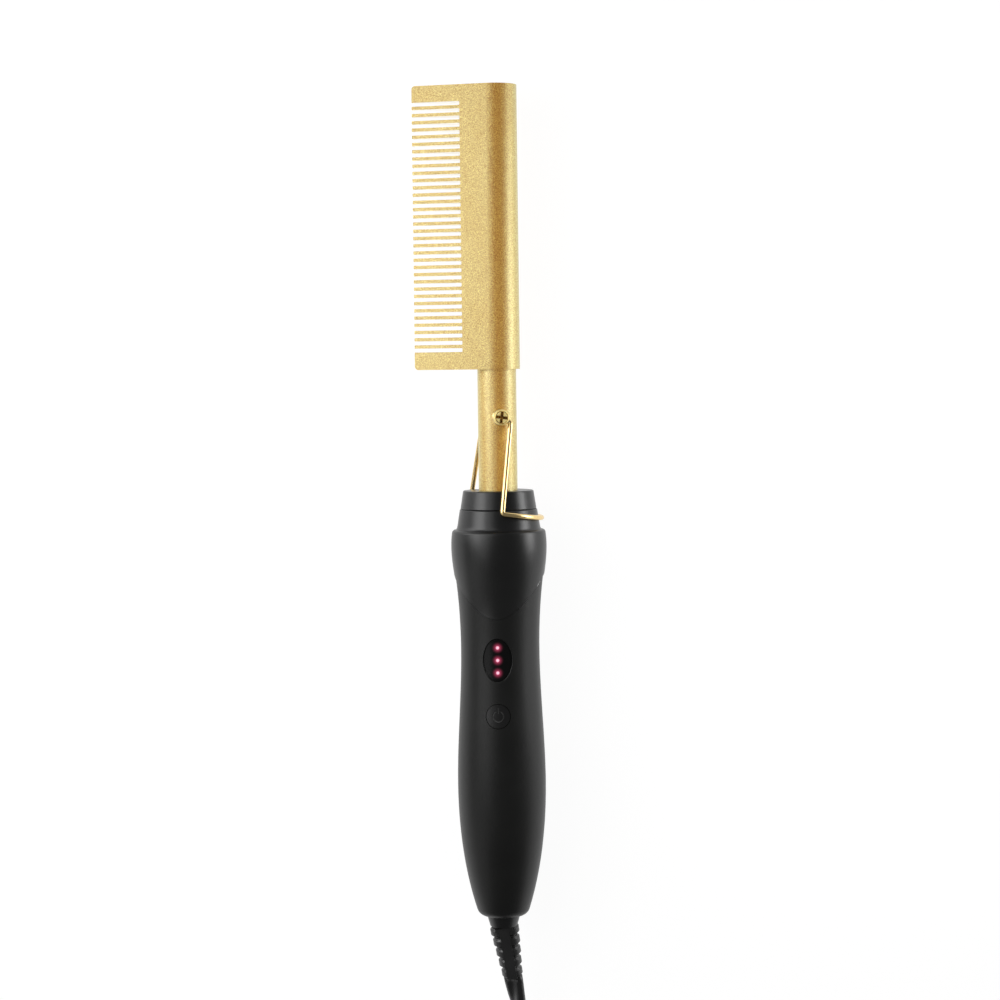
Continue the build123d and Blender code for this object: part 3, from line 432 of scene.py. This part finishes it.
def blasted_gold(name, grain_scale, sawn=False):
    """Sand-blasted gold: a pale gloss off the specks, over the deep colour that the pits throw about."""
    made, tree = blank(name)
    specks = grain(tree, grain_scale, 3.0, 0.75)
    drift = grain(tree, 40, 2.0)
    colour = between(tree, specks, (0.55, 0.51, 0.19), (0.87, 0.99, 0.62), 0.40, 0.60)
    rough = within(tree, drift, 0.38, 0.45)
    depth = within(tree, drift, 0.61, 0.67)
    slant = shader(tree, "LayerWeight", Blend=0.5)
    glancing = within(tree, slant.outputs["Facing"], 1.0, 0.5, 0.30, 0.75)
    depth = maths(tree, "MULTIPLY", depth, glancing)
    height = specks
    if sawn:
        walls = painted_reflection_slot_walls(tree)
        others = maths(tree, "SUBTRACT", 1, walls)
        # painted reflection: the slot walls are coloured pale cream to stand for the bright reflection
        # they catch
        colour = blend_of(tree, walls, colour, (0.97, 0.92, 0.74))
        rough = maths(tree, "SUBTRACT", rough, maths(tree, "MULTIPLY", walls, 0.25))
        depth = maths(tree, "MULTIPLY", depth, others)
        height = maths(tree, "MULTIPLY", specks, others)
    relief = shader(tree, "Bump", Strength=0.7, Distance=0.0001, Height=height)
    gloss = shader(
        tree, "BsdfPrincipled",
        Base_Color=colour,
        Roughness=rough,
        Normal=relief.outputs["Normal"],
        Metallic=1.0,
    )
    pits = shader(
        tree, "BsdfPrincipled",
        Base_Color=between(tree, specks, (0.78, 0.31, 0.01), (1.0, 0.79, 0.09), 0.40, 0.60),
        Normal=relief.outputs["Normal"],
        Metallic=1.0,
        Roughness=1.0,
    )
    gloss.inputs["Coat Weight"].default_value = 1.0
    gloss.inputs["Coat Roughness"].default_value = 0.35
    finish(tree, mix_of(tree, depth, gloss, pits))
    return made


def button_with_painted_glints(name, centre):
    """Moulded button whose engraved power sign is painted a little greyer with specks, as painted
    highlight for the glints on its edges.
    """
    made, tree = blank(name)
    flat = seen_from_front(tree, centre)
    here = shader(tree, "SeparateXYZ", Vector=flat)
    across = maths(tree, "ABSOLUTE", here.outputs["X"])
    along = here.outputs["Y"]
    away = vector_maths(tree, "LENGTH", flat).outputs["Value"]
    from_line = maths(tree, "ABSOLUTE", maths(tree, "SUBTRACT", away, SIGN_RADIUS))
    ring = maths(tree, "LESS_THAN", from_line, SIGN_LINE / 2)
    open_at_top = maths(
        tree, "MAXIMUM",
        maths(tree, "GREATER_THAN", across, SIGN_GAP / 2),
        maths(tree, "LESS_THAN", along, 0),
    )
    ring = maths(tree, "MULTIPLY", ring, open_at_top)
    bar = maths(tree, "LESS_THAN", across, SIGN_LINE / 2)
    for edge in (
        maths(tree, "GREATER_THAN", along, SIGN_RADIUS / 2),
        maths(tree, "LESS_THAN", along, SIGN_RADIUS * 1.7),
    ):
        bar = maths(tree, "MULTIPLY", bar, edge)
    sign = maths(tree, "MAXIMUM", ring, bar)
    fine = grain(tree, 5200, 3.0, 0.6)
    black = between(tree, fine, (0.004, 0.004, 0.004), (0.0065, 0.0065, 0.0065))
    # painted highlight: speckled grey on the engraved sign stands for its glints
    grey = between(tree, fine, (0.03, 0.03, 0.03), (0.12, 0.12, 0.12))
    relief = shader(tree, "Bump", Strength=0.1, Distance=0.0001, Height=fine)
    look = shader(
        tree, "BsdfPrincipled",
        Base_Color=blend_of(tree, sign, black, grey),
        Roughness=within(tree, fine, 0.30, 0.40),
        Normal=relief.outputs["Normal"],
    )
    finish(tree, look)
    return made


def distances(tree, lamps):
    """Distance of each point from each lamp, as seen from the front."""
    flat = seen_from_front(tree)
    return [vector_maths(tree, "DISTANCE", flat, (0, y, 0)).outputs["Value"] for y in lamps]


def lit_lens(name, lamps):
    """Glossy dark lens with a pink glow round each lamp below it."""
    made, tree = blank(name)
    glow = 0.0
    for away in distances(tree, lamps):
        near = within(tree, away, 0.0, 1.0, 0.0024, 0.0004)
        glow = maths(tree, "ADD", glow, maths(tree, "POWER", near, 2.6))
    fine = grain(tree, 900, 2.0)
    relief = shader(tree, "Bump", Strength=0.02, Distance=0.0001, Height=fine)
    look = shader(
        tree, "BsdfPrincipled",
        Roughness=within(tree, fine, 0.24, 0.34),
        Normal=relief.outputs["Normal"],
        Emission_Strength=glow,
    )
    look.inputs["Base Color"].default_value = (0.003, 0.003, 0.003, 1)
    look.inputs["Specular IOR Level"].default_value = 0.2
    look.inputs["Emission Color"].default_value = (0.62, 0.07, 0.16, 1)
    finish(tree, look)
    return made


def lit_guide(name, lamps):
    """Clear plastic lit from below: whitish pink in the middle, deeper towards its rim."""
    made, tree = blank(name)
    nearest = 1.0
    for away in distances(tree, lamps):
        nearest = maths(tree, "MINIMUM", away, nearest)
    inside = within(tree, nearest, 0.0, 1.0, 0.0007, 0.0001)
    fine = grain(tree, 1500, 2.0)
    look = shader(
        tree, "BsdfPrincipled",
        Base_Color=between(tree, fine, (0.40, 0.20, 0.25), (0.55, 0.35, 0.40)),
        Roughness=within(tree, fine, 0.2, 0.35),
        Emission_Color=between(tree, inside, (0.55, 0.14, 0.24), (1.0, 0.66, 0.80), 0, 1),
    )
    look.inputs["Emission Strength"].default_value = 0.95
    finish(tree, look)
    return made


HEAD_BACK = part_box("comb_head")[0].y + 0.010  # behind it lies only the head's spigot
TEETH_X = -0.009  # the slots lie beyond this
WALL_MARGIN = 0.004  # the head's own ends lie nearer to its box than this
PIVOT = (0, 0.08655, 0)  # between the stand's two screws
SCREW_CLOCK = math.radians(12.5)  # the screws' axis, from the handle's front
RECESS_RADIUS = 0.0023
HEAD_TOP = 0.01105  # just under the screw's top, from the pivot
BUTTON_Y = -0.0204
SIGN_RADIUS = 0.001875  # middle of the ring's line
SIGN_LINE = 0.00045
SIGN_GAP = 0.0015
LAMPS = [-0.0004 + 0.0045 * i for i in (-1, 0, 1)]

looks = {
    "head": blasted_gold("gold_blasted", 2900, sawn=True),
    "tube": blasted_gold("gold_satin", 3100),
    "wire": surface("gold_polished", (0.86, 0.62, 0.26), (0.94, 0.72, 0.36), (0.18, 0.28), bump=0.03,
                    metallic=1.0),
    "screw": screw_gold("gold_screw"),
    "black": surface("black_handle", (0.004, 0.0042, 0.0038), (0.0065, 0.0068, 0.0062), (0.38, 0.46),
                     grain_scale=5200, bump=0.10, specular=0.42),
    "guard": surface("black_guard", (0.004, 0.0042, 0.0040), (0.0065, 0.0068, 0.0065), (0.30, 0.38),
                     grain_scale=4200, bump=0.16),
    "collar": surface("black_collar", (0.004, 0.0042, 0.0042), (0.0065, 0.0068, 0.0068), (0.26, 0.36),
                      grain_scale=5200, bump=0.14),
    "button": button_with_painted_glints("black_button", BUTTON_Y),
    "lens": lit_lens("lens_dark", LAMPS),
    "guide": lit_guide("lamp_guide", LAMPS),
    "rubber": surface("black_boot", (0.012, 0.012, 0.012), (0.022, 0.022, 0.022), (0.26, 0.38),
                      grain_scale=3500, bump=0.12, specular=0.65),
    "jacket": surface("cord_jacket", (0.008, 0.008, 0.008), (0.016, 0.016, 0.016), (0.28, 0.40),
                      grain_scale=2600, bump=0.12, specular=0.6),
    "tie": surface("tie_strap", (0.010, 0.010, 0.010), (0.020, 0.020, 0.020), (0.6, 0.8),
                   grain_scale=1800, bump=0.5, sheen=0.3),
    "nickel": surface("nickel", (0.58, 0.57, 0.54), (0.72, 0.71, 0.68), (0.14, 0.26), bump=0.03,
                      metallic=1.0),
    "zinc": surface("zinc_steel", (0.50, 0.50, 0.50), (0.66, 0.66, 0.66), (0.25, 0.4), bump=0.06,
                    metallic=1.0),
    "plain": surface("plain_aluminium", (0.62, 0.62, 0.63), (0.76, 0.76, 0.77), (0.28, 0.42),
                     bump=0.06, metallic=1.0),
    "brass": surface("contact_brass", (0.66, 0.45, 0.18), (0.80, 0.58, 0.26), (0.2, 0.34), bump=0.05,
                     metallic=1.0),
    "ceramic": surface("heater_ceramic", (0.74, 0.73, 0.70), (0.86, 0.85, 0.82), (0.45, 0.6)),
    "glass": surface("bead_glass", (0.55, 0.35, 0.18), (0.72, 0.50, 0.30), (0.08, 0.16), bump=0.02),
    "silicone": surface("lead_silicone", (0.62, 0.60, 0.56), (0.74, 0.72, 0.68), (0.45, 0.6)),
    "sleeve": surface("glass_fibre", (0.62, 0.60, 0.54), (0.82, 0.80, 0.74), (0.7, 0.9),
                      grain_scale=1500, bump=0.6, sheen=0.2),
    "fibre": surface("washer_fibre", (0.28, 0.20, 0.11), (0.42, 0.32, 0.19), (0.7, 0.9), bump=0.3),
    "board": surface("board_green", (0.015, 0.12, 0.05), (0.03, 0.18, 0.08), (0.3, 0.45), bump=0.05),
    "chip": surface("chip_black", (0.012, 0.012, 0.013), (0.022, 0.022, 0.024), (0.45, 0.6)),
    "red": surface("capacitor_red", (0.32, 0.035, 0.025), (0.46, 0.06, 0.04), (0.2, 0.35), bump=0.05),
    "resistor": surface("resistor_grey", (0.24, 0.30, 0.33), (0.34, 0.40, 0.43), (0.35, 0.5)),
    "nylon": surface("white_nylon", (0.70, 0.70, 0.67), (0.80, 0.80, 0.77), (0.4, 0.55)),
}

WEARS = {
    "head": ("comb_head",),
    "tube": ("neck_tube",),
    "wire": ("wire_stand",),
    "screw": ("stand_screws",),
    "black": ("front_shell", "rear_shell"),
    "guard": ("heat_guard",),
    "collar": ("nose_base", "nose_ring", "swivel_ball"),
    "button": ("power_button",),
    "lens": ("display_window",),
    "guide": ("light_guide", "indicator_leds"),
    "rubber": ("strain_relief", "plug_body"),
    "jacket": ("power_cord", "cord_hank", "cord_tail"),
    "tie": ("cord_tie",),
    "nickel": ("plug_blades",),
    "zinc": ("tube_flange", "pivot_nuts", "shell_screws", "board_screws", "thermal_fuse"),
    "plain": ("heater_clamps",),
    "brass": ("slip_rings", "contact_brushes"),
    "ceramic": ("heater_element",),
    "glass": ("temperature_sensor",),
    "silicone": ("heater_leads", "supply_leads"),
    "sleeve": ("lead_sleeve",),
    "fibre": ("heat_washer",),
    "board": ("circuit_board",),
    "chip": ("control_chip", "triac", "tact_switch", "switch_plunger"),
    "red": ("film_capacitor",),
    "resistor": ("dropper_resistor",),
    "nylon": ("contact_block",),
}


def dress(piece, look):
    piece.data.materials.clear()
    piece.data.materials.append(looks[look])


for look, names in WEARS.items():
    for name in names:
        dress(nodes[name], look)
dress(cord, "jacket")

# ---------------------------------------------------------------- floor and light


def make_floor():
    mesh = bpy.data.meshes.new("floor")
    half = 4.0
    corners = [(-half, -half, 0), (half, -half, 0), (half, half, 0), (-half, half, 0)]
    mesh.from_pydata([Vector(c) + Vector((0, 0, floor_z - 0.0001)) for c in corners], [], [(0, 1, 2, 3)])
    floor = bpy.data.objects.new("floor", mesh)
    bpy.context.scene.collection.objects.link(floor)
    made, tree = blank("floor_white")
    ray = shader(tree, "LightPath")
    mirrored = maths(tree, "MAXIMUM", ray.outputs["Is Glossy Ray"], ray.outputs["Is Transmission Ray"])
    seen = maths(tree, "MAXIMUM", ray.outputs["Is Camera Ray"], mirrored)
    share = within(tree, seen, 0.0, 0.86)  # the rest is matt, and carries the shadow
    matt = shader(tree, "BsdfDiffuse")
    matt.inputs["Color"].default_value = (0.85, 0.85, 0.85, 1)
    white = shader(tree, "Emission")
    white.inputs["Strength"].default_value = 1.1
    finish(tree, mix_of(tree, share, matt, white))
    mesh.materials.append(made)


def make_lamp(name, place, aim, width, height, radiance):
    """Soft box of even brightness that faces its aim."""
    data = bpy.data.lights.new(name, "AREA")
    data.shape = "RECTANGLE"
    data.size, data.size_y = width, height
    data.energy = radiance * math.pi * width * height
    lamp = bpy.data.objects.new(name, data)
    lamp.location = place
    lamp.rotation_euler = (Vector(aim) - Vector(place)).to_track_quat("-Z", "Y").to_euler()
    lamp.visible_camera = False
    bpy.context.scene.collection.objects.link(lamp)


def make_world():
    world = bpy.data.worlds.new("studio")
    bpy.context.scene.world = world
    world.use_nodes = True
    tree = world.node_tree
    tree.nodes.clear()
    ray = shader(tree, "LightPath")
    light = shader(tree, "Background", Strength=0.16)
    light.inputs["Color"].default_value = (1.0, 1.0, 1.0, 1)
    white = shader(tree, "Background", Strength=1.0)
    white.inputs["Color"].default_value = (1, 1, 1, 1)
    seen = maths(tree, "MAXIMUM", ray.outputs["Is Camera Ray"], ray.outputs["Is Transmission Ray"])
    mix = mix_of(tree, seen, light, white)
    end = shader(tree, "OutputWorld")
    tree.links.new(mix.outputs[0], end.inputs["Surface"])


make_floor()
make_world()
make_lamp("left_box", (-0.52, 0.34, 0.72), (0, 0.10, 0), 1.0, 0.7, 1.35)
make_lamp("left_strip", (-0.27, 0.15, 0.19), (0, 0.05, 0), 0.17, 0.20, 3.6)
make_lamp("left_low", (-0.30, 0.20, 0.05), (0, 0.16, 0), 0.16, 0.12, 2.6)
make_lamp("left_fill", (-0.80, -0.45, 0.40), (0, 0.0, 0), 0.6, 0.6, 0.45)
make_lamp("right_box", (0.85, 0.30, 0.07), (0, 0.10, 0), 0.6, 0.2, 2.0)
make_lamp("right_strip", (0.26, 0.10, 0.02), (0, 0.05, 0), 0.18, 0.14, 5.0)
make_lamp("right_fill", (0.85, -0.30, 0.10), (0, 0.0, 0), 0.4, 0.16, 0.35)
bpy.context.scene.view_settings.view_transform = "Standard"
